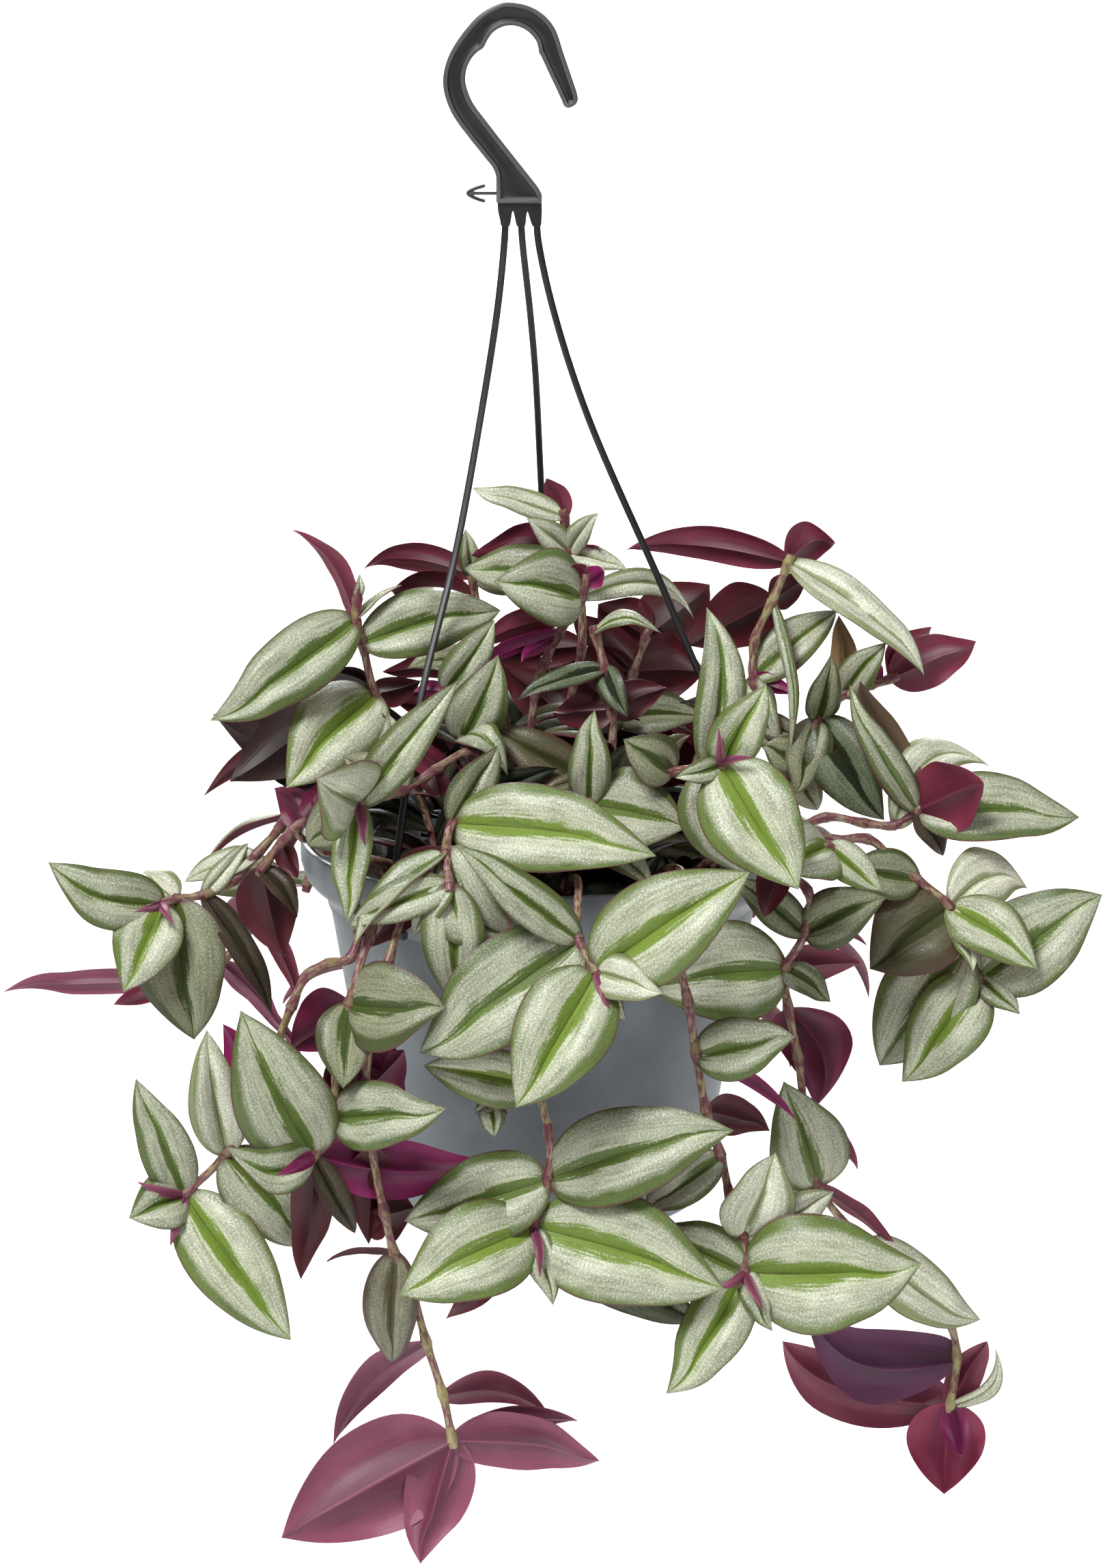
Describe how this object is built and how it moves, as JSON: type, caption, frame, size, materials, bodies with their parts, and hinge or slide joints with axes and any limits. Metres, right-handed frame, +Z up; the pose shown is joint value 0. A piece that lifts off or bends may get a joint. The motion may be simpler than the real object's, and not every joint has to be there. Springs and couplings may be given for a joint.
{
  "type": "potted hanging plant",
  "caption": "Zebra tradescantia trailing over a round tapered plastic pot that hangs by a moulded three-strap hanger with a hook.",
  "frame": {"origin": "where the inside of the hook's bow rests on what carries it", "axes": "+Z up along the hanging direction, the front seen in the picture towards -Y, +X to the right"},
  "size_m": [0.3375, 0.239, 0.4623],
  "materials": {
    "hanger_plastic": "satin",
    "pot_plastic": "satin",
    "soil": "matt, crumbly",
    "leaf": "satin"
  },
  "bodies": {
    "root": {"hanger": "hanger_plastic", "pot": "pot_plastic", "soil": "soil", "shoot_crown_left": "leaf", "shoot_crown_back_left": "leaf", "shoot_crown_centre": "leaf", "shoot_crown_pink": "leaf", "shoot_crown_top": "leaf", "shoot_crown_dark": "leaf", "shoot_crown_right": "leaf", "shoot_right_high": "leaf", "shoot_right_arm": "leaf", "shoot_front_right_up": "leaf", "shoot_right_small": "leaf", "shoot_front_left_up": "leaf", "shoot_front_centre_up": "leaf", "shoot_left_inner": "leaf", "shoot_left_front": "leaf", "shoot_left_arm": "leaf", "shoot_left_dark": "leaf", "shoot_left_behind": "leaf", "shoot_left_low": "leaf", "shoot_front_left": "leaf", "shoot_front_long": "leaf", "shoot_front_tip": "leaf", "shoot_front_hanging": "leaf", "shoot_front_bud": "leaf", "shoot_front_right": "leaf", "shoot_right_hanging": "leaf", "shoot_right_arm_low": "leaf", "shoot_back_1": "leaf", "shoot_back_2": "leaf", "shoot_back_3": "leaf", "shoot_back_4": "leaf", "shoot_back_5": "leaf", "shoot_back_6": "leaf", "shoot_back_7": "leaf", "shoot_back_8": "leaf", "shoot_back_9": "leaf"}
  },
  "joints": []
}
